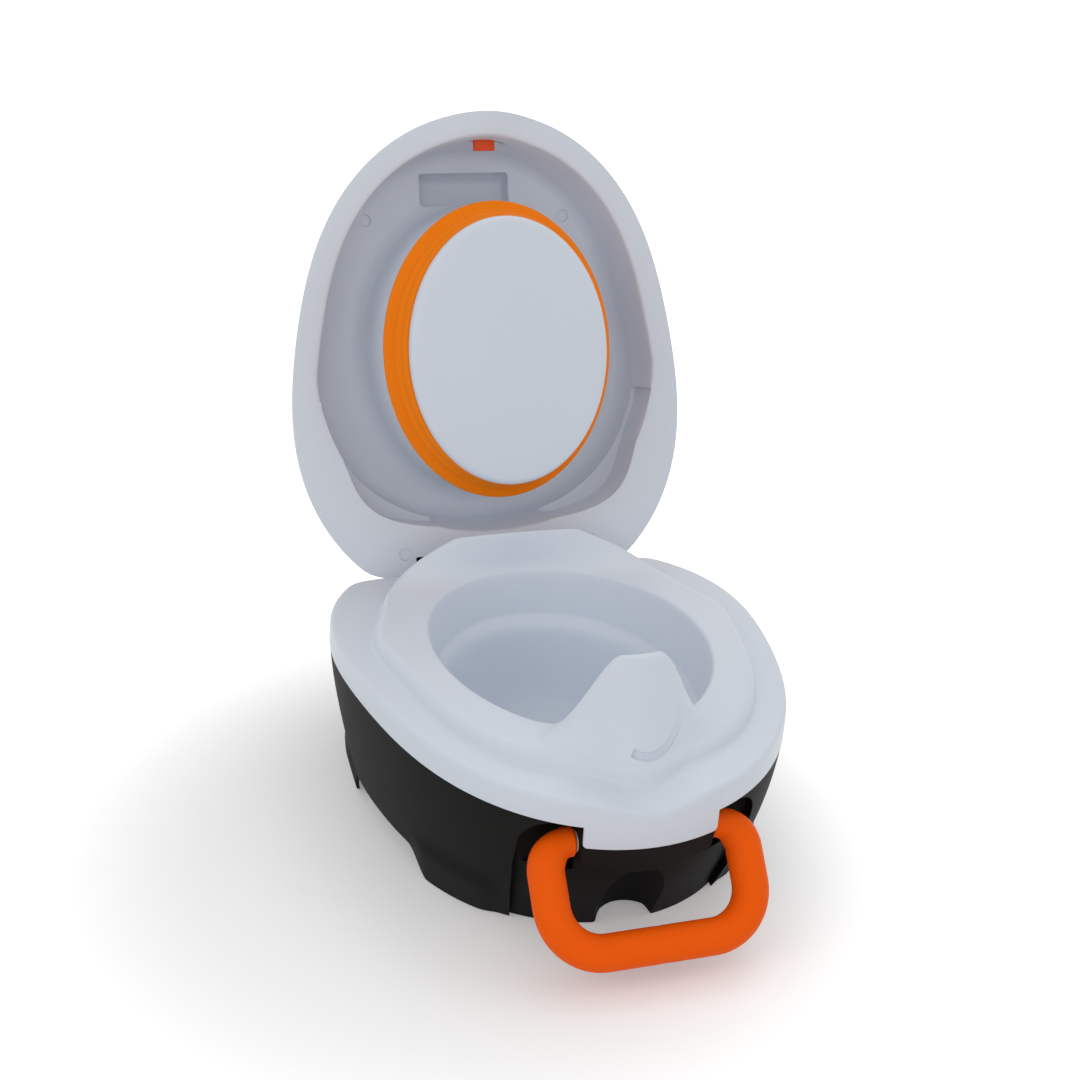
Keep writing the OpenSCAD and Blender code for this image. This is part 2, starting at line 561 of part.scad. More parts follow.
// three-lipped seal held between the plug and its cap
module seal_gasket() color([0.88, 0.45, 0.07]) opened()
  skin([for (q = [[64.4, 83.8, -7.2], [71, 90.4, -7.2], [72.4, 91.6, -15], [lip_a, lip_b, -19.4],
      [lip_a - 0.1, lip_b - 0.1, -21.4], [71.6, 89, -24.4], [69.4, 87.2, -27], [71.4, 88, -30.4],
      [71.2, 87.8, -31.8], [68, 85.8, -34], [68.4, 86.2, -37], [66.4, 85, -41], [62, 81, -41]])
    [for (i = [0:facets - 1]) at(oval(ang(i), q[0], q[1]), deck_h + q[2])]], loop = true);

module lid_screws() color([0.6, 0.6, 0.62]) opened() pairs() {
  translate([flange_screw[0], flange_screw[1], rim(flange_screw[1]) + 2]) screw_up();
  translate([trough_screw[0], trough_screw[1], deck_h + trough_h + 2]) screw_up();
}
module screw_up() {
  cylinder(r = head_r, h = 2.3, $fn = 48);
  cylinder(r = screw_r, h = 14, $fn = 48);
}

module screw_plugs() color([0.84, 0.86, 0.9]) opened() pairs() {
  translate([flange_screw[0], flange_screw[1], rim(flange_screw[1]) + 0.7])
    cylinder(r = plug_r, h = 1.2, $fn = 48);
  translate([trough_screw[0], trough_screw[1], deck_h + trough_h + 0.4])
    cylinder(r = plug_r, h = 1.4, $fn = 48);
}

module hinge_pins() color([0.62, 0.63, 0.65]) pairs()
  translate([hinge_x - 14.2, hinge_y, hinge_z]) rotate([0, 90, 0])
    cylinder(r = hinge_pin_r, h = 28.4, $fn = 48);

module hinge_washers() color([0.85, 0.85, 0.82]) opened() pairs() for (s = [-1, 1])
  translate([hinge_x + s * (lug_w / 2 + gap / 2), hinge_y, hinge_z]) rotate([0, 90, 0]) difference() {
    cylinder(r = 3.6, h = 0.3, center = true, $fn = 48);
    cylinder(r = hinge_pin_r + tight_fit, h = 2, center = true, $fn = 48);
  }

// ---- latch -------------------------------------------------------------
module latch_lever() color([0.9, 0.33, 0.08]) opened() on_front() difference() {
  union() {
    // shaft through the front of the dome
    translate([0, 0, latch_in]) cylinder(r = 4, h = 8.6, $fn = 48);
    translate([0, 0, latch_in]) cylinder(r = 6, h = 1.6, $fn = 48);
    // arm and tongue
    translate([-4, -tongue_r, latch_in]) cube([8, tongue_r, 1.6]);
    translate([0, 0, 139]) rotate([0, 0, -105]) rotate_extrude(angle = 30, $fn = 96)
      translate([tongue_r - tongue_t / 2, 0]) square([tongue_t, latch_in - 139 + 1.6]);
  }
  translate([0, 0, latch_in + 3]) cylinder(r = 1.26, h = 12, $fn = 32);
}

module latch_knob() color([0.93, 0.38, 0.08]) opened() on_front() difference() {
  union() {
    translate([0, 0, latch_in + 6.8]) cylinder(r = 13.8, h = 3, $fn = 64);
    translate([-3, -11, latch_in + 9.7]) cube([6, 22, 3.4]);
  }
  translate([0, 0, latch_in + 6]) cylinder(r = 4 + tight_fit, h = 2.62, $fn = 48);
  translate([0, 0, latch_in + 6]) cylinder(r = 1.3, h = 12, $fn = 32);
}

module knob_screw() color([0.6, 0.6, 0.62]) opened() on_front() {
  translate([0, 0, latch_in + 4]) cylinder(r = 1.25, h = 9.5, $fn = 32);
  translate([0, 0, latch_in + 13.15]) cylinder(r = 2.4, h = 1.2, $fn = 32);
}

translate([0, row_y, 0]) {
  base_shell();
  seat_bowl();
  foot_pads();
  base_screws();
  handle();
  handle_pins();
  handle_washers();
  lid_shell();
  lid_liner();
  plug_cap();
  plug_screws();
  seal_gasket();
  lid_screws();
  screw_plugs();
  hinge_pins();
  hinge_washers();
  latch_lever();
  latch_knob();
  knob_screw();
}
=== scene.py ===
"""Potty training chair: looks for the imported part. The shape functions work in millimetres from the
middle of the case, with the lid closed; dress() moves each finished mesh to the row's origin."""

import json
import math

import bmesh
import bpy
import numpy as np
from mathutils import Matrix, Vector


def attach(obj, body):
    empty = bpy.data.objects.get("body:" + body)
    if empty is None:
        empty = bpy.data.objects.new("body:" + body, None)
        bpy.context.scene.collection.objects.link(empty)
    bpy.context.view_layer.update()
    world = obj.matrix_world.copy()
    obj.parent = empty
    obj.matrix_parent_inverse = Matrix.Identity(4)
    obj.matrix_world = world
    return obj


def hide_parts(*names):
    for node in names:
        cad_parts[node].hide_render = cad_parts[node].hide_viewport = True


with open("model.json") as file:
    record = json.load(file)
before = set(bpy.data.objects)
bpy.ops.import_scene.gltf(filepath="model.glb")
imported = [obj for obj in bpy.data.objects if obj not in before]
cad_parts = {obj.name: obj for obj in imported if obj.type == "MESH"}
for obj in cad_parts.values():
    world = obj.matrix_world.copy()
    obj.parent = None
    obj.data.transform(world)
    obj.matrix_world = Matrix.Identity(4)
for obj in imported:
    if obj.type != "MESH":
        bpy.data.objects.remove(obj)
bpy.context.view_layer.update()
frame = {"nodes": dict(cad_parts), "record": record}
MM = 0.001

# ---- sizes of the case, as in the part's source -----------------------------
EGG = (147.5, 3.5, 16.0, -3.9, -1.1)      # cosine series of the outline
BASE_BACK, LID_BACK = 122.0, 136.4
DECK, CROWN, NOSE_Y = 110.0, 10.0, 162.0
SKIRT, TAB_DROP, TAB_W, WALL, GAP = 15.4, 12.8, 38.9, 2.6, 0.4
FOOT_X, FOOT_Y, FOOT_OUT, ARCH = 0.866, 0.8, 3.0, 20.0
PANEL_TOP, PANEL_IN, BAY_W = 53.0, 6.0, 69.0
OPEN_A, OPEN_B, CUP_Y, BOWL_FLOOR = 82.0, 100.0, -11.0, 23.0
RING_H, RING_BACK, GUARD_H = 9.0, 25.0, 57.0
RIM_W, RIM_T, LEAN = 15.0, 3.4, 0.12
DOME_H, TROUGH_H, LID_OPEN = 76.0, 45.0, 107.5
HINGE_Y, HINGE_Z, HINGE_X = 128.5, DECK - 4.8, 42.0
PIVOT_Y, PIVOT_Z, GRIP_W, GRIP_L, GRIP_R, GRIP_OUT = -142.7, DECK - 41, 57.5, 61.0, 10.2, 41.0
KNOB_X, KNOB_Z, TONGUE_R, LATCH_IN = 3.0, DECK + 26, 22.0, 149.2
FOOT_PLATES = (68.0, -81.0), (83.0, 66.0)  # places on the right half, as x and y; the left mirrors them
SCREW_POSTS = (76.0, -66.0), (90.0, 54.0)
FOOT_PADS = (62.0, -92.0), (76.0, 76.0)
SCREW_PLUGS = (64.0, 119.0), (69.0, -98.0)
ROW_Y = -40.65                             # from the case's own middle to the row's origin
AROUND = 288                               # points round an outline


# ---- camera, fitted to the photograph ---------------------------------------
CAMERA_PLACE = Vector((-0.3464, -0.9145 + ROW_Y * MM, 0.6255))
CAMERA_TURN = -0.34405, 0.429456, 0.066714     # azimuth, elevation and roll, in radians
SENSOR, LENS = 36.0, 61.07                     # mm


def make_camera():
    azimuth, elevation, roll = CAMERA_TURN
    forward = Vector((-math.sin(azimuth) * math.cos(elevation),
                      math.cos(azimuth) * math.cos(elevation), -math.sin(elevation)))
    right = forward.cross(Vector((0, 0, 1))).normalized()
    up = right.cross(forward)
    c, s = math.cos(roll), math.sin(roll)
    right, up = c * right + s * up, -s * right + c * up
    cam = bpy.data.objects.new("camera", bpy.data.cameras.new("camera"))
    bpy.context.collection.objects.link(cam)
    turn = Matrix((right, up, -forward)).transposed().to_4x4()
    cam.matrix_world = Matrix.Translation(CAMERA_PLACE) @ turn
    cam.data.sensor_width, cam.data.lens = SENSOR, LENS
    cam.data.clip_start, cam.data.clip_end = 0.05, 60.0
    bpy.context.scene.camera = cam


make_camera()


# ---- outlines (vectorised over the angle, 0 at the hinge end) ----------------
def smooth(v, a, b):
    t = np.clip((v - a) / (b - a), 0, 1)
    return t * t * (3 - 2 * t)


def mix(a, b, t):
    return a * (1 - t) + b * t


def egg(a, inset):
    r = sum(c * np.cos(k * a) for k, c in enumerate(EGG)) - inset
    return r * np.sin(a), r * np.cos(a)


def flatten(xy, start, reach):
    x, y = xy
    beyond = np.maximum(y - start, 0)
    return x, np.where(y <= start, y, start + reach * (1 - np.exp(-beyond / reach)))


def base_line(a, inset):
    return flatten(egg(a, inset), BASE_BACK - 10 - inset, 10)


def lid_line(a, inset):
    return flatten(egg(a, inset), LID_BACK - 10 - inset, 10)


def recess_line(a, inset):
    return egg(a, RIM_W + inset + 38 * np.maximum(0, np.cos(a)) ** 1.35)


def nose(a, width):
    return np.where(np.cos(a) < 0, 1 - smooth(abs(EGG[0] * np.sin(a)), 0, width), 0)


def ring_line(a, inset):
    back = 13 * smooth(EGG[0] * np.cos(a), 10, 80)
    return flatten(egg(a, 19 + inset + 6 * nose(a, 95) - 8 * nose(a, 34) + back), 73.5 - inset, 38)


def oval(a, p, q):
    return p * np.sin(a), CUP_Y + q * np.cos(a)


def crown(y):
    return -CROWN * (y / NOSE_Y) ** 2


def dip(a):
    return 6 * nose(a, 34)


def guard(a):
    x = abs(OPEN_A * np.sin(a))
    return np.where(np.cos(a) < 0, 1 - 0.9 * smooth(x, 10, 40) - 0.1 * smooth(x, 15, 52), 0)


def ring_top(xy):
    x, y = xy
    return RING_H + RING_BACK * smooth(y, 62, 94) * (1 - np.clip((abs(x) - 40) / 56, 0, 1))


def at(xy, z):
    return np.stack(np.broadcast_arrays(xy[0], xy[1], z), -1).astype(float)


def over(xy, h):
    return at(xy, DECK + crown(xy[1]) + h)


def moved(xy, dy):
    return xy[0], xy[1] + dy


def between(p, q, t):
    return mix(p[0], q[0], t), mix(p[1], q[1], t)


def angles(extra=()):
    """Angles round an outline, closer at the handle end, with some more at given places."""
    t = 2 * np.pi * np.arange(AROUND) / AROUND
    return np.unique(np.concatenate([t + math.radians(25) * np.sin(t), np.asarray(extra, float)]))


# ---- mesh tools -------------------------------------------------------------
def rounded(rings, steps=4):
    """rings is [(points, radius)]: a curve of about that radius replaces each corner of the section."""
    pts = [np.asarray(p, float) for p, _ in rings]
    out = [pts[0]]
    for j in range(1, len(pts) - 1):
        r = rings[j][1]
        if r <= 0:
            out.append(pts[j])
            continue
        before, after = pts[j - 1] - pts[j], pts[j + 1] - pts[j]
        la = np.linalg.norm(before, axis=-1, keepdims=True)
        lb = np.linalg.norm(after, axis=-1, keepdims=True)
        a = pts[j] + before * np.minimum(r / np.maximum(la, 1e-6), 0.49)
        b = pts[j] + after * np.minimum(r / np.maximum(lb, 1e-6), 0.49)
        for t in np.linspace(0, 1, steps + 1):
            out.append((1 - t) ** 2 * a + 2 * t * (1 - t) * pts[j] + t * t * b)
    return out + [pts[-1]]


def mesh_object(name, points, faces):
    mesh = bpy.data.meshes.new(name)
    mesh.from_pydata([tuple(p) for p in np.asarray(points) * MM], [], faces)
    mesh.update()
    obj = bpy.data.objects.new(name, mesh)
    bpy.context.collection.objects.link(obj)
    return obj


def loft(name, rings, loop=False):
    """A closed skin over the rings, with a cap at each end, or joined into a ring-shaped body."""
    m, n = len(rings), len(rings[0])
    last = m if loop else m - 1
    faces = [(j * n + i, j * n + (i + 1) % n, (j + 1) % m * n + (i + 1) % n, (j + 1) % m * n + i)
             for j in range(last) for i in range(n)]
    if not loop:
        faces += [tuple(range(n - 1, -1, -1)), tuple((m - 1) * n + i for i in range(n))]
    obj = mesh_object(name, np.concatenate(rings), faces)
    outward(obj)
    return obj


def outward(obj):
    """Turns the faces so that they look out of the solid."""
    bm = bmesh.new()
    bm.from_mesh(obj.data)
    if bm.calc_volume(signed=True) < 0:
        bmesh.ops.reverse_faces(bm, faces=bm.faces)
    bm.to_mesh(obj.data)
    bm.free()


def apply_modifiers(obj):
    bpy.context.view_layer.update()
    done = obj.evaluated_get(bpy.context.evaluated_depsgraph_get())
    mesh = bpy.data.meshes.new_from_object(done)
    obj.modifiers.clear()
    obj.data = mesh
    return obj


def cut(obj, *tools, mode="DIFFERENCE"):
    """Takes the tools away from obj, or joins them to it, and deletes them."""
    for tool in tools:
        mod = obj.modifiers.new("cut", "BOOLEAN")
        mod.operation, mod.solver, mod.object = mode, "MANIFOLD", tool
        apply_modifiers(obj)
        bpy.data.objects.remove(tool)
    return obj


def shade(obj, angle=35):
    obj.data.shade_smooth()
    obj.data.set_sharp_from_angle(angle=math.radians(angle))
    return obj


def opened(obj):
    """Carries a mesh drawn on the closed lid to the open stop."""
    hinge = Vector((0, HINGE_Y * MM, HINGE_Z * MM))
    turn = Matrix.Rotation(math.radians(-LID_OPEN), 4, "X")
    obj.data.transform(Matrix.Translation(hinge) @ turn @ Matrix.Translation(-hinge))
    return obj


def prism(name, outline, depth, matrix):
    """The outline (x, y pairs) pulled up by depth along +Z, then placed by the matrix (mm)."""
    n = len(outline)
    pts = [(x, y, 0.0) for x, y in outline] + [(x, y, depth) for x, y in outline]
    faces = [tuple(range(n - 1, -1, -1)), tuple(range(n, 2 * n))]
    faces += [(i, (i + 1) % n, n + (i + 1) % n, n + i) for i in range(n)]
    obj = mesh_object(name, [matrix @ Vector(p) for p in pts], faces)
    outward(obj)
    return obj


def soft_box(name, low, high, radius, segments=4):
    """A box with rounded edges."""
    lo, hi = Vector(low), Vector(high)
    outline = [(lo.x, lo.y), (hi.x, lo.y), (hi.x, hi.y), (lo.x, hi.y)]
    obj = prism(name, outline, hi.z - lo.z, Matrix.Translation((0, 0, lo.z)))
    mod = obj.modifiers.new("bevel", "BEVEL")
    mod.width, mod.segments, mod.limit_method = radius * MM, segments, "NONE"
    return apply_modifiers(obj)


def circle(r, n=48, start=0.0, end=2 * math.pi):
    return [(r * math.cos(start + (end - start) * k / n), r * math.sin(start + (end - start) * k / n))
            for k in range(n)]


# ---- seat, bowl and skirt ----------------------------------------------------
CUP = [(46, 60, BOWL_FLOOR - DECK, 0), (58, 73, BOWL_FLOOR - DECK + 4, 9), (65, 82, -70, 30),
       (69, 86.8, -50, 40), (71.5, 88.4, -33, 5), (73, 90.2, -28, 1.6), (76.4, 95.4, -22, 1.6),
       (76.8, 95.8, -19, 3), (80.6, 98.8, 0, 40)]


def cup_wall(a, k, t):
    p, q, z, _ = CUP[k]
    return at(oval(a, p + t, q + t), DECK + z)


def tab_edge(a):
    """Depth of the front tab below the skirt: square sides with small round corners."""
    x = abs(base_line(a, 0)[0])
    corner = 2.2
    inside = np.clip(x - (TAB_W - corner), 0, corner)
    depth = TAB_DROP - corner + np.sqrt(np.maximum(corner ** 2 - inside ** 2, 0))
    return np.where((np.cos(a) < 0) & (x <= TAB_W), depth, 0)


def tab_angles():
    probe = np.linspace(math.radians(150), math.pi, 4000)
    x = base_line(probe, 0)[0]
    wanted = TAB_W - np.array([2.2, 1.7, 1.2, 0.8, 0.45, 0.2, 0.05, 0.001, -0.05])
    side = np.interp(wanted, x[::-1], probe[::-1])
    return np.concatenate([side, 2 * math.pi - side])


def seat_rings():
    a = angles(tab_angles())
    g, d, tab = guard(a), dip(a), tab_edge(a)
    out, lip = ring_line(a, 5), oval(a, OPEN_A + 2.5, OPEN_B + 2.5)
    top = ring_top(out)
    up = (top - RING_H) / RING_BACK

    def lift(xy, h, z):
        return at(xy, mix(DECK + crown(xy[1]) + h, DECK + z, g))

    rings = [(cup_wall(a, k, 0), CUP[k][3]) for k in range(9)]
    rings += [
        (lift(moved(oval(a, OPEN_A, OPEN_B), -4 * g), 7.6, GUARD_H - 9), 40),
        (lift(moved(oval(a, OPEN_A + 0.8, OPEN_B + 0.8), -6 * g), 9.4, GUARD_H - 1.6), 40),
        (lift(moved(lip, -6.5 * g), 10, GUARD_H), 40),
        (lift(moved(between(lip, out, 0.25), -4.5 * g), mix(10, top, 0.18), GUARD_H - 2.6), 40),
        (lift(moved(between(lip, out, 0.45), -2 * g), mix(10, top, 0.42), mix(8, GUARD_H, 0.6)), 40),
        (lift(between(lip, out, 0.72), mix(10, top, 0.74), mix(8, GUARD_H, 0.24)), 40),
        (over(out, top), 3.5),
        (over(ring_line(a, 2.4), top - 1.6), 40),
        (over(ring_line(a, 1), mix(0, top, 0.5) - d * 0.3), 40),
        (over(ring_line(a, 0), -d * 0.6), 2.4),
        (over(base_line(a, 2.4), -d), 40),
        (over(base_line(a, 0.7), -0.8 - d), 40),
        (over(base_line(a, 0), -2.6 - d), 40),
        (over(base_line(a, 0), -SKIRT - tab), 0.5),
        (over(base_line(a, WALL), -SKIRT - tab), 0.5),
        (over(base_line(a, WALL), -5 - d), 1),
        (over(base_line(a, 6), -WALL - d), 1),
        (over(ring_line(a, 3), -WALL - d * 0.6), 2),
        (over(ring_line(a, 4), top * 0.4 - WALL), 40),
        (over(ring_line(a, 7 - 3.4 * up), top - WALL - 0.6 - 2.4 * up), 2),
        (lift(moved(between(lip, out, 0.66), 1.5 * g + 2.3 * up), mix(10, top, 0.7) - WALL,
              mix(8, GUARD_H, 0.24) - WALL), 40),
        (lift(moved(between(lip, out, 0.42), 2.3 * up - 0.5 * g), mix(10, top, 0.38) - WALL,
              mix(8, GUARD_H, 0.56) - WALL), 40),
        (lift(moved(between(lip, out, 0.24), 2 * up - 4 * g), mix(10, top, 0.16) - WALL,
              GUARD_H - 5 - WALL), 4),
        (lift(moved(oval(a, OPEN_A + 3.4, OPEN_B + 3.4), -5.2 * g), 9.6 - WALL,
              GUARD_H - 5 - WALL), 4),
        (cup_wall(a, 8, WALL), 20), (cup_wall(a, 6, WALL + 0.2), 8), (cup_wall(a, 4, WALL + 0.2), 8),
        (cup_wall(a, 2, WALL) - [0, 0, 1], 12), (cup_wall(a, 0, WALL + 4) - [0, 0, WALL], 0)]
    return rounded(rings)


def arc_band(r_in, r_out, start, end, n=40):
    """Outline of a curved slot with round ends; angles in degrees, -90 straight down."""
    mid, half = (r_in + r_out) / 2, (r_out - r_in) / 2
    turn = np.radians(np.linspace(start, end, n))
    pts = [(r_out * math.cos(t), r_out * math.sin(t)) for t in turn]
    for k in range(1, 8):
        b = turn[-1] + math.pi * k / 8
        pts.append((mid * math.cos(turn[-1]) + half * math.cos(b),
                    mid * math.sin(turn[-1]) + half * math.sin(b)))
    pts += [(r_in * math.cos(t), r_in * math.sin(t)) for t in turn[::-1]]
    for k in range(1, 8):
        b = turn[0] + math.pi + math.pi * k / 8
        pts.append((mid * math.cos(turn[0]) + half * math.cos(b),
                    mid * math.sin(turn[0]) + half * math.sin(b)))
    return pts


def facing_front(x, y, z):
    """Local +Z runs towards the handle end, local x and y are across and up, from the given place."""
    return Matrix(((1, 0, 0, x), (0, 0, -1, y), (0, 1, 0, z), (0, 0, 0, 1)))


# angle round the latch axis, and how far forward the floor of the tongue's slot lies there
SLOT_FLOOR = ((-118, 135.6), (-104, 137.2), (-90, 137.3), (-75, 136), (-60, 132.9),
              (-45, 129.4), (-30, 126), (-19, 124.4), (-8, 123.3))


def tongue_slot():
    """Curved slot that follows the slope of the guard and fades out at its upper end."""
    rings = []
    for b in np.linspace(-118, -8, 56):
        floor = np.interp(b, *zip(*SLOT_FLOOR))
        c, s = math.cos(math.radians(b)), math.sin(math.radians(b))
        section = [(-2.2, floor + 0.9), (-1.5, floor + 0.2), (0, floor), (1.5, floor + 0.2),
                   (2.2, floor + 0.9), (2.2, 165), (-2.2, 165)]
        rings.append(np.array([(KNOB_X + (TONGUE_R + q) * c, -y, KNOB_Z + (TONGUE_R + q) * s)
                               for q, y in section]))
    return loft("slot", rings)


def make_seat():
    return shade(cut(loft("seat_and_bowl", seat_rings()), tongue_slot()))


# ---- base shell -------------------------------------------------------------
def foot(a):
    """1 on the feet at the four corners, 0 between them."""
    w = np.degrees(np.arccos(np.clip(np.cos(a), -1, 1)))
    return np.maximum(smooth(w, 118, 126) * smooth(w, 150, 144), smooth(w, 32, 38) * smooth(w, 78, 72))


def flank(a, inset, t):
    x, y = base_line(a, inset - FOOT_OUT * foot(a) * smooth(t, 0.62, 0.74))
    u, v = t ** 1.4, t ** 1.75
    top = DECK + crown(base_line(a, inset)[1]) - SKIRT - GAP
    return at((x * (1 - (1 - FOOT_X) * u), y * (1 - (1 - FOOT_Y) * v) - 2 * v), mix(top, 1, t))


def floored(points, z):
    points = points.copy()
    points[:, 2] = z
    return points


def shell_rings(inset, low, high):
    a = angles()
    rings = []
    for t in (1.0, 0.96, 0.9, 0.84, 0.78, 0.74, 0.7, 0.66, 0.62, 0.56, 0.5, 0.42, 0.34, 0.26, 0.18, 0.08, 0):
        p = flank(a, inset * (1 + smooth(0.4 - t, 0, 0.4)) + GAP, t)
        rings.append(floored(p, low) if t == 1 else p)
    lip = WALL + GAP
    if inset == 0:
        rings.append(over(base_line(a, lip), -SKIRT - GAP))
    rings.append(over(base_line(a, lip if inset == 0 else inset + WALL), high - dip(a)))
    return rings


def inside_flank(inset):
    """Smooth form a given depth inside the flank."""
    a = angles()
    rings = [flank(a, inset + GAP, t) for t in (1, 0.85, 0.7, 0.55, 0.4, 0.25, 0.1, 0)]
    rings[0] = floored(rings[0], -5)
    return loft("inside_flank", rings + [over(base_line(a, inset + GAP), 5)])


def ellipsoid(centre, radii):
    b = np.linspace(0, 2 * np.pi, 73)[:-1]
    rings = [np.stack([centre[0] + radii[0] * math.sin(t) * np.cos(b),
                       centre[1] + radii[1] * math.sin(t) * np.sin(b),
                       np.full_like(b, centre[2] - radii[2] * math.cos(t))], -1)
             for t in np.linspace(0.02, math.pi - 0.02, 40)]
    return loft("ellipsoid", rings)


def front_cuts(grow):
    """What is cut from the front for the folded handle, the tab and the scoop, grown for its wall."""
    # panel between the arms, set back and with a bowed upper edge
    side = BAY_W + grow
    outline = [(x, PANEL_TOP + 7 * (x / 39) ** 2 + grow) for x in np.linspace(-39, 39, 25)]
    outline += [(side, 63 + grow), (side, 50), (side - 3, 24), (side - 8, -4),
                (8 - side, -4), (3 - side, 24), (-side, 50), (-side, 63 + grow)]
    panel = prism("panel", outline, 220, facing_front(0, 0, 0))
    cut(panel, inside_flank(PANEL_IN + grow))
    scoop = ellipsoid((0, -148, 6), (22 + grow, 30 + grow, PANEL_TOP - 8 + grow))
    # bays that the arms fold into, round at their upper outer corner
    bays = []
    for s in (-1, 1):
        corner = [(BAY_W - 18 + x, 68 + z) for x, z in circle(18 + grow, 16, 0, math.pi / 2)]
        inner = TAB_W - 0.6 - grow
        outline = [(inner, 50 - grow), (side, 50 - grow), *corner, (46, 120), (inner, 120)]
        bays.append(prism("bay", [(s * x, z) for x, z in outline], 60,
                          facing_front(0, -127.5 + grow, 0)))
    half = TAB_W + GAP + grow
    tab = soft_box("tab_seat", (-half, -200, DECK - CROWN - SKIRT - TAB_DROP - GAP - grow),
                   (half, -80, 130), 0.3)
    cut(tab, inside_flank(WALL + grow))
    return [panel, scoop, *bays, tab]


def arch(half, height, depth, matrix):
    r = height * 0.6
    rise = [k / 12 for k in range(13)]
    left = [(-half + (b - 1) * 3 + r * b, height * smooth(b, -0.1, 1)) for b in rise]
    outline = [(-half - 4, -2), *left, *[(-x, y) for x, y in left[::-1]], (half + 4, -2)]
    return prism("arch", outline, depth, matrix @ Matrix.Translation((0, 0, -depth / 2)))


def cylinder(name, r, start, length, axis="Z"):
    """A capped cylinder from the start point (mm) along +X or +Z."""
    turn = {"X": Matrix.Rotation(math.radians(90), 4, "Y"), "Z": Matrix.Identity(4)}[axis]
    return prism(name, circle(r, 64), length, Matrix.Translation(start) @ turn)


def across(x):
    """Local x and y run along the row's Y and Z, local +Z along its X, from the given x."""
    return Matrix(((0, 0, 1, x), (1, 0, 0, 0), (0, 1, 0, 0), (0, 0, 0, 1)))


def make_base():
    outer = loft("base_shell_skin", shell_rings(0, 1, -7))
    inner = loft("inner", shell_rings(WALL, -1, 12))
    blocks = front_cuts(WALL)
    for s in (-1, 1):
        blocks += [cylinder("plate", 27, (s * x, y, -3), 8) for x, y in FOOT_PLATES]
        blocks += [cylinder("post", 6, (s * x, y, -3), 91) for x, y in SCREW_POSTS]
    blocks.append(soft_box("housing", (2.7 - TAB_W, -175, 55), (TAB_W - 2.7, -130, 115), 1))
    cut(inner, *blocks)
    cut(outer, inner)
    holes = front_cuts(0)
    for s in (-1, 1):
        holes += [cylinder("screw_well", 3.8, (s * x, y, -1), 83) for x, y in SCREW_POSTS]
        holes += [cylinder("pad_seat", 8.05, (s * x, y, -1), 4) for x, y in FOOT_PADS]
    holes.append(arch(16, 6, 90, facing_front(0, -150, 0)))
    holes.append(arch(44, ARCH, 90, facing_front(0, 120, 0)))
    side = Matrix(((0, 0, 1, 0), (1, 0, 0, -15), (0, 1, 0, 0), (0, 0, 0, 1)))
    holes.append(arch(49, ARCH - 1, 300, side))
    cut(outer, *holes)
    for s in (-1, 1):
        lug = [(112, 58), (112, 86), (HINGE_Y - 4.9, 87), (HINGE_Y - 4.9, HINGE_Z),
               (HINGE_Y + 4.9, HINGE_Z), (HINGE_Y + 4.9, 88), (122, 58)]
        x0 = s * HINGE_X - 6
        cut(outer, prism("lug", lug, 12, across(x0)),
            cylinder("knuckle", 4.9, (x0, HINGE_Y, HINGE_Z), 12, "X"), mode="UNION")
    return shade(outer)


# ---- lid --------------------------------------------------------------------
def dome(a, inset, u, h):
    x, y = lid_line(a, inset + 1)
    s = math.sin(u) ** 0.36
    k = math.cos(u) ** 0.36 * (1 - LEAN * s)
    return at((x * k, y * k - 4 * (1 - k)), mix(DECK + crown(y) + RIM_T, DECK + h, s))


def make_lid_shell():
    a = angles()
    ups = np.radians([0.2, 1, 2.5, 5, 9, 14, 20, 28, 36, 44, 52, 60, 67, 73, 78, 82, 85.5, 87.5])
    inner = [(dome(a, WALL, u, DOME_H - WALL), 6) for u in ups[::-1]]
    outer = [(dome(a, 0, u, DOME_H - 0.12), 6) for u in ups]
    edge = [(over(lid_line(a, WALL + 1), RIM_T), 0.4), (over(lid_line(a, 1), RIM_T), 0.4)]
    lid = loft("lid_dome", rounded(inner + edge + outer, 2))
    for s in (-1, 1):
        gap = soft_box("gap", (s * HINGE_X - 6.4, HINGE_Y - 12, HINGE_Z - 12),
                       (s * HINGE_X + 6.4, HINGE_Y + 18, HINGE_Z + 9), 0.5)
        cut(lid, gap)
        for x0 in (s * HINGE_X - 14.2, s * HINGE_X + 6.4):
            cut(lid, cylinder("knuckle", 4.9, (x0, HINGE_Y, HINGE_Z), 7.8, "X"), mode="UNION")
    on_front = facing_front(KNOB_X, -LATCH_IN, KNOB_Z)
    cut(lid, prism("knob_seat", circle(15.8, 96), 4.5,
                   on_front @ Matrix.Translation((0, 0, 2))), mode="UNION")
    cut(lid, prism("seat_face", circle(14.5, 96), 20, on_front @ Matrix.Translation((0, 0, 6.5))))
    return shade(opened(lid))


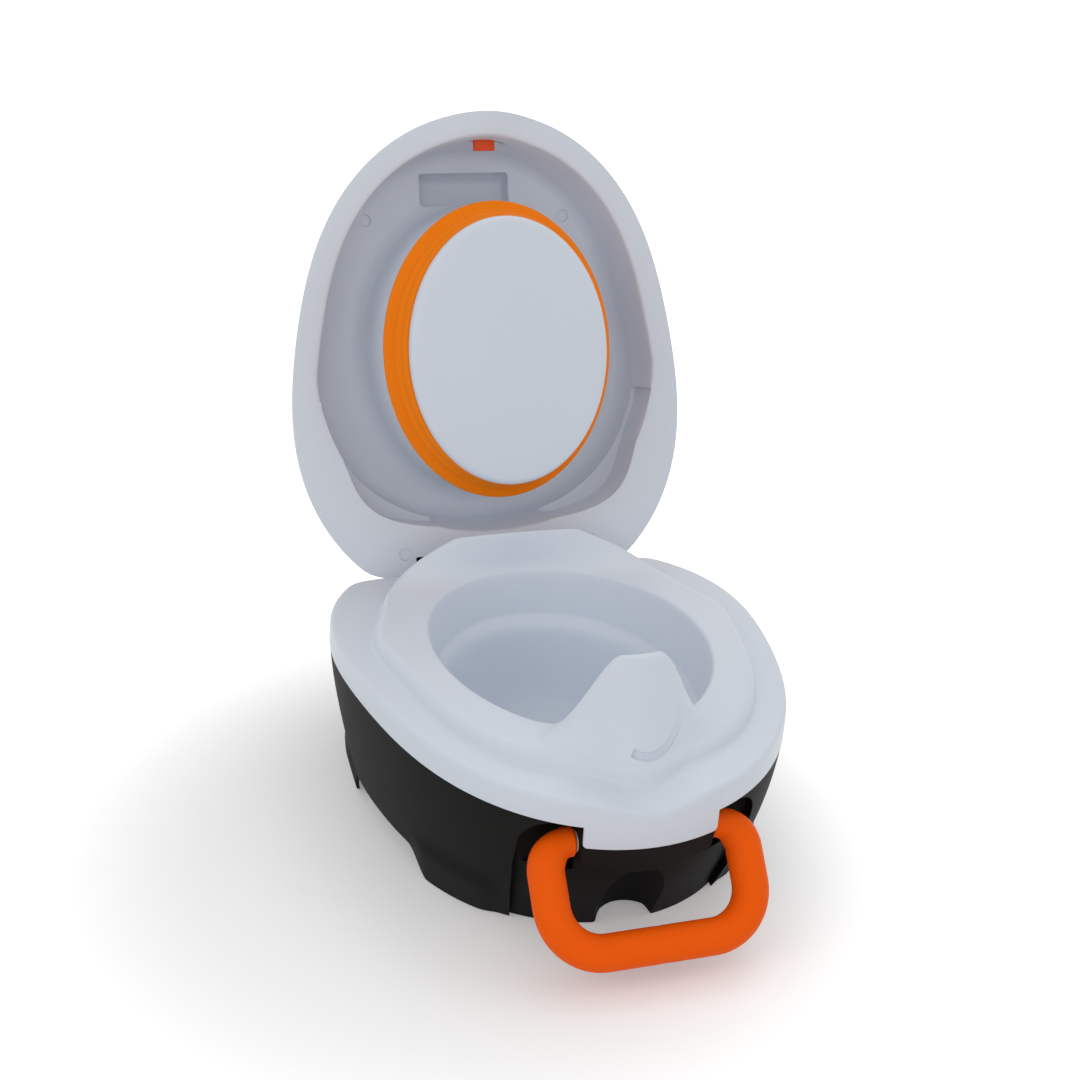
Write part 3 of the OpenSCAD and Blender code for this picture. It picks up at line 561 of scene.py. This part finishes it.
def liner_rings():
    a = angles()
    deep = DECK + TROUGH_H
    d = dip(a)
    rings = [
        (at(oval(a, 61, 80.4), DECK - 40), 0), (at(oval(a, 64, 83.4), DECK - 7), 0.5),
        (at(oval(a, 71.5, 91), DECK - 7), 2), (at(oval(a, 73.8, 93.2), deep - 15), 12),
        (at(oval(a, 76, 95.4), deep - 5), 8),
        (at(between(recess_line(a, 13), oval(a, 80, 99), 0.8), deep), 8),
        (at(recess_line(a, 13), deep), 14), (at(recess_line(a, 8), deep - 3), 14),
        (at(recess_line(a, 5), deep - 9), 14), (at(recess_line(a, 3), DECK + 18), 14),
        (over(recess_line(a, 1.2), 2), 2), (over(recess_line(a, 0), GAP - 0.7 * d), 2.5),
        (over(lid_line(a, 0), GAP - d), 0.8), (over(lid_line(a, 0), RIM_T - GAP), 0.6),
        (over(recess_line(a, -1.6), RIM_T - GAP), 1), (at(recess_line(a, 0.6), deep - 12), 10),
        (at(recess_line(a, 8), deep + 2.4), 8), (at(oval(a, 77, 96.4), deep + 2), 4),
        (at(oval(a, 71.6, 91), deep - 12), 4), (at(oval(a, 69, 88.6), DECK - 4.6), 1),
        (at(oval(a, 61.6, 81), DECK - 4.6), 1), (at(oval(a, 58.6, 78), DECK - 37.4), 0)]
    return rounded(rings)


def corner_pockets(grow, edge, below, above):
    """Room for the back corners of the seat ring, one piece on each side of the lid."""
    a = angles()
    pieces = []
    for s in (-1, 1):
        line = ring_line(a, -1.6 - grow)
        piece = loft("corner", [over(line, 0.8 - below), at(line, DECK + 28 + above)])
        near, far = 38 - grow, 120
        cut(piece, soft_box("side", (min(s * near, s * far), 20 - grow, DECK - 30),
                            (max(s * near, s * far), 130, DECK + 50), 0.3), mode="INTERSECT")
        inner = [over(recess_line(a, edge), -30), over(recess_line(a, edge), -9),
                 at(recess_line(a, edge + 2.2), DECK + 40)]
        pieces.append(cut(piece, loft("recess", inner)))
    return pieces


def pocket(name, half, grow, low):
    """The guard's pocket in the trough floor, grown outwards for its wall."""
    z0 = DECK + TROUGH_H
    outline = [(-106 + grow, z0 + low), (-106 + grow, z0 + 14.6 + grow),
               (-122.6 - grow * 0.4, z0 + 14.6 + grow), (-127.6 - grow, z0 + 8 + grow * 0.4),
               (-127.6 - grow, z0 + low)]
    block = prism(name, outline, 2 * half, across(-half))
    mod = block.modifiers.new("bevel", "BEVEL")
    mod.width, mod.segments, mod.limit_method = 2.5 * MM, 4, "NONE"
    return apply_modifiers(block)


def make_liner():
    liner = loft("lid_inner", liner_rings())
    cut(liner, *corner_pockets(WALL, 0.4, 0, WALL), pocket("pocket_wall", 33, 2, 0.2), mode="UNION")
    cut(liner, *corner_pockets(0, 4, 20, 0), pocket("pocket_hollow", 31, 0, -10))
    half = 2.3
    cut(liner, prism("slot", arc_band(TONGUE_R - half, TONGUE_R + half, -110, -42), 30,
                     facing_front(KNOB_X, -128, KNOB_Z)))
    for s in (-1, 1):
        cut(liner, soft_box("gap", (s * HINGE_X - 15, HINGE_Y - 7, DECK - 20),
                            (s * HINGE_X + 15, HINGE_Y + 23, DECK + 20), 1))
        for x, y in SCREW_PLUGS:
            top = crown(y) if y > 0 else TROUGH_H
            cut(liner, cylinder("ring_mark", 4.05, (s * x, y, DECK - 10), top + 14.4))
    return shade(opened(liner))


def make_plug_cap():
    a = angles()
    steps = [(1, 1, 0, 0), (30, 49.6, 0, 20), (60, 79.6, 0, 8), (63.4, 83, 0.7, 8),
             (65, 84.6, 2.8, 8), (65, 84.6, 7.4, 0.4), (62, 81.6, 7.6, 0)]
    rings = [(at(oval(a, p, q), DECK - 49 + z), r) for p, q, z, r in steps]
    return shade(opened(loft("plug_face", rounded(rings))))


def make_gasket():
    a = angles()
    section = [(64.4, 83.8, -7.2, 0.2), (71, 90.4, -7.2, 1), (72.4, 91.6, -15, 5), (76.2, 95.2, -19.4, 1),
               (76.1, 95.1, -21.4, 1), (71.6, 89, -24.4, 2), (69.4, 87.2, -27, 2), (71.4, 88, -30.4, 1.2),
               (71.2, 87.8, -31.8, 1.2), (68, 85.8, -34, 2), (68.4, 86.2, -37, 1.2), (66.4, 85, -41, 1),
               (62, 81, -41, 0.2)]
    rings = [(at(oval(a, p, q), DECK + z), r) for p, q, z, r in section]
    return shade(opened(loft("seal_ring", rounded(rings), loop=True)))


# ---- handle and latch ---------------------------------------------------------
def make_handle():
    start = TAB_W + 0.8
    top, low = 16.0, 27.0                      # radii of the upper and lower bends
    down = [(start, 0.0), (start + 1.2, 0.0)]
    for t in np.radians(np.linspace(-90, 0, 14)):
        down.append((GRIP_W - top + top * math.cos(t), top + top * math.sin(t)))
    for t in np.linspace(0.15, 0.85, 6):
        down.append((GRIP_W, mix(top, GRIP_L - low, t)))
    for t in np.radians(np.linspace(0, 90, 22)):
        down.append((GRIP_W - low + low * math.cos(t), GRIP_L - low + low * math.sin(t)))
    half = np.array(down)
    bar = np.array([(x, GRIP_L) for x in np.linspace(GRIP_W - low, 0, 8)[1:]])
    half = np.concatenate([half, bar])
    line = np.concatenate([half, (half * [-1, 1])[-2::-1]])
    tangent = np.gradient(line, axis=0)
    tangent /= np.linalg.norm(tangent, axis=1, keepdims=True)
    walked = line[:, 1] + abs(line[:, 0]) - TAB_W
    radius = mix(8.5, GRIP_R, smooth(walked, 6, 26))
    radius[[0, -1]] = 7.4
    b = np.linspace(0, 2 * np.pi, 49)[:-1]
    rings = []
    for p, u, r in zip(line, tangent, radius):
        w = r * np.cos(b)
        rings.append(np.stack([p[0] - u[1] * w, r * np.sin(b), -(p[1] + u[0] * w)], -1))
    grip = loft("carry_handle", rings)
    turn = Matrix.Rotation(math.radians(-GRIP_OUT), 4, "X")
    grip.data.transform(Matrix.Translation((0, PIVOT_Y * MM, PIVOT_Z * MM)) @ turn)
    return shade(grip, 50)


def on_latch(obj):
    """Drawn round the latch axis with local +Z outwards through the front of the lid."""
    place = facing_front(KNOB_X * MM, 0, KNOB_Z * MM)
    obj.data.transform(place)
    return opened(obj)


def make_latch():
    start = 139                                # depth of the tongue's end inside the lid
    outline = arc_band(TONGUE_R - 1.5, TONGUE_R + 1.5, -105, -75, 16)
    tongue = prism("latch_tongue", outline, LATCH_IN + 1.6 - start, Matrix.Translation((0, 0, start)))
    mod = tongue.modifiers.new("bevel", "BEVEL")
    mod.width, mod.segments, mod.angle_limit = 0.5 * MM, 3, math.radians(50)
    apply_modifiers(tongue)
    arm = soft_box("arm", (-4, -TONGUE_R, LATCH_IN), (4, 0, LATCH_IN + 1.6), 0.4)
    boss = cylinder("boss", 6, (0, 0, LATCH_IN), 1.6)
    shaft = cylinder("shaft", 4, (0, 0, LATCH_IN), 8.6)
    cut(tongue, arm, boss, shaft, mode="UNION")
    return shade(on_latch(tongue))


def make_knob():
    low = LATCH_IN + 6.8
    section = [(0.5, low, 0), (13.8, low, 0.5), (13.8, low + 1.5, 0.5), (12.4, low + 3, 2),
               (0.5, low + 3, 0)]
    b = np.linspace(0, 2 * np.pi, 97)[:-1]
    rings = [(np.stack([r * np.cos(b), r * np.sin(b), np.full_like(b, z)], -1), f) for r, z, f in section]
    disc = loft("latch_turn_knob", rounded(rings))
    bar = soft_box("grip_bar", (-3, -11, low + 2.4), (3, 11, low + 6.3), 1.2)
    cut(disc, bar, mode="UNION")
    cut(disc, cylinder("screw_recess", 2.7, (0, 0, low + 5.9), 3))
    return shade(on_latch(disc))


# ---- materials ----------------------------------------------------------------
def linear(rgb):
    return [((c / 255 + 0.055) / 1.055) ** 2.4 if c > 10 else c / 255 / 12.92 for c in rgb] + [1.0]


def moulded(name, rgb, rough, grain, grain_scale=900.0, tone=0.03, specular=0.5, metallic=0.0):
    """Plastic, rubber or metal: a faint drift of colour and gloss, a fine grain, and eased edges."""
    mat = bpy.data.materials.new(name)
    mat.use_nodes = True
    tree = mat.node_tree
    nodes, links = tree.nodes, tree.links
    shader = nodes["Principled BSDF"]
    where = nodes.new("ShaderNodeTexCoord")
    drift = nodes.new("ShaderNodeTexNoise")
    drift.inputs["Scale"].default_value = 14
    drift.inputs["Detail"].default_value = 3
    links.new(where.outputs["Object"], drift.inputs["Vector"])
    colour = nodes.new("ShaderNodeMix")
    colour.data_type = "RGBA"
    base = linear(rgb)
    colour.inputs[6].default_value = [c * (1 - tone) for c in base[:3]] + [1]
    colour.inputs[7].default_value = [min(c * (1 + tone), 1) for c in base[:3]] + [1]
    links.new(drift.outputs["Fac"], colour.inputs[0])
    links.new(colour.outputs[2], shader.inputs["Base Color"])
    gloss = nodes.new("ShaderNodeMapRange")
    gloss.inputs["To Min"].default_value = rough - 0.05
    gloss.inputs["To Max"].default_value = rough + 0.05
    fine = nodes.new("ShaderNodeTexNoise")
    fine.inputs["Scale"].default_value = grain_scale
    fine.inputs["Detail"].default_value = 2
    links.new(where.outputs["Object"], fine.inputs["Vector"])
    links.new(drift.outputs["Fac"], gloss.inputs["Value"])
    links.new(gloss.outputs["Result"], shader.inputs["Roughness"])
    eased = nodes.new("ShaderNodeBevel")
    eased.samples = 4
    eased.inputs["Radius"].default_value = 0.5 * MM
    bump = nodes.new("ShaderNodeBump")
    bump.inputs["Strength"].default_value = grain
    bump.inputs["Distance"].default_value = 0.15 * MM
    links.new(fine.outputs["Fac"], bump.inputs["Height"])
    links.new(eased.outputs["Normal"], bump.inputs["Normal"])
    links.new(bump.outputs["Normal"], shader.inputs["Normal"])
    shader.inputs["Metallic"].default_value = metallic
    shader.inputs["Specular IOR Level"].default_value = specular
    return mat


MATERIALS = {
    "moulding_white": moulded("white_moulding", (218, 225, 235), 0.42, grain=0.08, grain_scale=1400,
                              tone=0.012, specular=0.4),
    "shell_charcoal": moulded("charcoal_shell", (23, 23, 22), 0.6, grain=0.5, grain_scale=1600,
                              tone=0.06, specular=0.1),
    "handle_orange": moulded("orange_grip", (254, 97, 5), 0.5, grain=0.25, grain_scale=1500,
                             tone=0.02, specular=0.08),
    "latch_orange": moulded("orange_latch", (224, 74, 8), 0.38, grain=0.1, tone=0.02, specular=0.3),
    "seal_orange": moulded("orange_seal", (250, 131, 8), 0.48, grain=0.1, tone=0.03, specular=0.1),
    "pad_rubber": moulded("black_rubber", (28, 28, 28), 0.8, grain=0.4, tone=0.05),
    "washer_nylon": moulded("nylon", (215, 214, 206), 0.5, grain=0.1),
    "pin_steel": moulded("pin_steel", (170, 172, 176), 0.32, grain=0.15, tone=0.04, metallic=1.0),
    "screw_steel": moulded("screw_steel", (160, 162, 166), 0.38, grain=0.15, tone=0.05, metallic=1.0),
}


def dress(obj, body, slot, node):
    """Places a new piece in the row, gives it its finish and its body, and hides the CAD node it stands for.
    """
    obj.data.transform(Matrix.Translation((0, ROW_Y * MM, 0)))
    obj.data.materials.clear()
    obj.data.materials.append(MATERIALS[slot])
    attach(obj, body)
    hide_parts(node)


def dress_cad_nodes():
    slots = {s["node"]: s["material_slot"] for s in frame["record"]["subparts"]}
    for node, obj in frame["nodes"].items():
        for place in obj.material_slots:
            place.material = MATERIALS[slots[node]]


# ---- room ---------------------------------------------------------------------
def seen_directly(tree):
    """1 for the camera's rays and for what mirrors and glass show, 0 for the light that falls on things."""
    path = tree.nodes.new("ShaderNodeLightPath")
    total = path.outputs["Is Camera Ray"]
    for name in ("Is Glossy Ray", "Is Transmission Ray"):
        add = tree.nodes.new("ShaderNodeMath")
        add.operation, add.use_clamp = "ADD", True
        tree.links.new(total, add.inputs[0])
        tree.links.new(path.outputs[name], add.inputs[1])
        total = add.outputs[0]
    return total


def calculated(tree, operation, first, second, third=0.0):
    """Output of a maths node; each operand is a socket or a number."""
    node = tree.nodes.new("ShaderNodeMath")
    node.operation = operation
    for place, value in zip(node.inputs, (first, second, third)):
        if isinstance(value, float):
            place.default_value = value
        else:
            tree.links.new(value, place)
    return node.outputs[0]


AMBIENT = 0.58                             # strength of the even light of the room
FLOOR_NEAR, FLOOR_FAR = 0.22, 0.8          # white added to the floor near the object and far away; the smaller amount near it paints shade round the object


def make_room():
    world = bpy.data.worlds.new("room")
    bpy.context.scene.world = world
    world.use_nodes = True
    tree = world.node_tree
    background = tree.nodes["Background"]
    background.inputs["Color"].default_value = (1, 1, 1, 1)
    strength = calculated(tree, "MULTIPLY_ADD", seen_directly(tree), 1 - AMBIENT, AMBIENT)
    tree.links.new(strength, background.inputs["Strength"])

    side = 12.0 / MM
    corners = [(-side, -side, 0), (side, -side, 0), (side, side, 0), (-side, side, 0)]
    floor = mesh_object("floor", corners, [(0, 1, 2, 3)])
    mat = bpy.data.materials.new("pale_floor")
    mat.use_nodes = True
    tree = mat.node_tree
    shader = tree.nodes["Principled BSDF"]
    shader.inputs["Base Color"].default_value = (0.86, 0.86, 0.86, 1)
    shader.inputs["Roughness"].default_value = 0.9
    shader.inputs["Specular IOR Level"].default_value = 0.0
    shader.inputs["Emission Color"].default_value = (1, 1, 1, 1)
    where = tree.nodes.new("ShaderNodeTexCoord")
    away = tree.nodes.new("ShaderNodeVectorMath")
    away.operation = "LENGTH"
    tree.links.new(where.outputs["Object"], away.inputs[0])
    # less white is added near the floor's centre than far off: painted shade round the object on the floor
    white_and_painted_shade = tree.nodes.new("ShaderNodeMapRange")
    white_and_painted_shade.interpolation_type = "SMOOTHSTEP"
    for end, distance, white in (("Min", 0.13, FLOOR_NEAR), ("Max", 0.42, FLOOR_FAR)):
        white_and_painted_shade.inputs["From " + end].default_value = distance
        white_and_painted_shade.inputs["To " + end].default_value = white
    tree.links.new(away.outputs["Value"], white_and_painted_shade.inputs["Value"])
    glow = calculated(tree, "MULTIPLY", seen_directly(tree), white_and_painted_shade.outputs["Result"])
    tree.links.new(glow, shader.inputs["Emission Strength"])
    floor.data.materials.append(mat)
    floor.location = (-0.08, -0.1, 0)          # centres the painted floor shade, where less white is added, in front of the object and left of it, under its shadow


def lamp(name, place, target, size, watts):
    data = bpy.data.lights.new(name, "AREA")
    data.shape, data.size, data.size_y, data.energy = "RECTANGLE", size[0], size[1], watts
    obj = bpy.data.objects.new(name, data)
    bpy.context.collection.objects.link(obj)
    obj.location = place
    obj.rotation_euler = (Vector(target) - Vector(place)).to_track_quat("-Z", "Y").to_euler()


def make_lamps():
    aim = (0, 0, 0.15)
    lamp("key", (-2.0, -1.0, 1.5), aim, (1.6, 1.6), 7)
    lamp("fill", (2.0, -0.9, 1.2), aim, (1.4, 1.6), 3)
    lamp("top", (0.5, 1.1, 2.3), aim, (1.6, 1.6), 9.5)
    lamp("front", (-0.45, -1.7, 0.95), aim, (1.3, 1.3), 3.5)


# ---- build --------------------------------------------------------------------
dress_cad_nodes()
dress(make_seat(), "base", "moulding_white", "seat_bowl")
dress(make_base(), "base", "shell_charcoal", "base_shell")
dress(make_lid_shell(), "lid", "shell_charcoal", "lid_shell")
dress(make_liner(), "lid", "moulding_white", "lid_liner")
dress(make_plug_cap(), "lid", "moulding_white", "plug_cap")
dress(make_gasket(), "lid", "seal_orange", "seal_gasket")
dress(make_handle(), "handle", "handle_orange", "handle")
dress(make_latch(), "latch", "latch_orange", "latch_lever")
dress(make_knob(), "latch", "handle_orange", "latch_knob")
make_room()
make_lamps()
bpy.context.scene.view_settings.view_transform = "Standard"
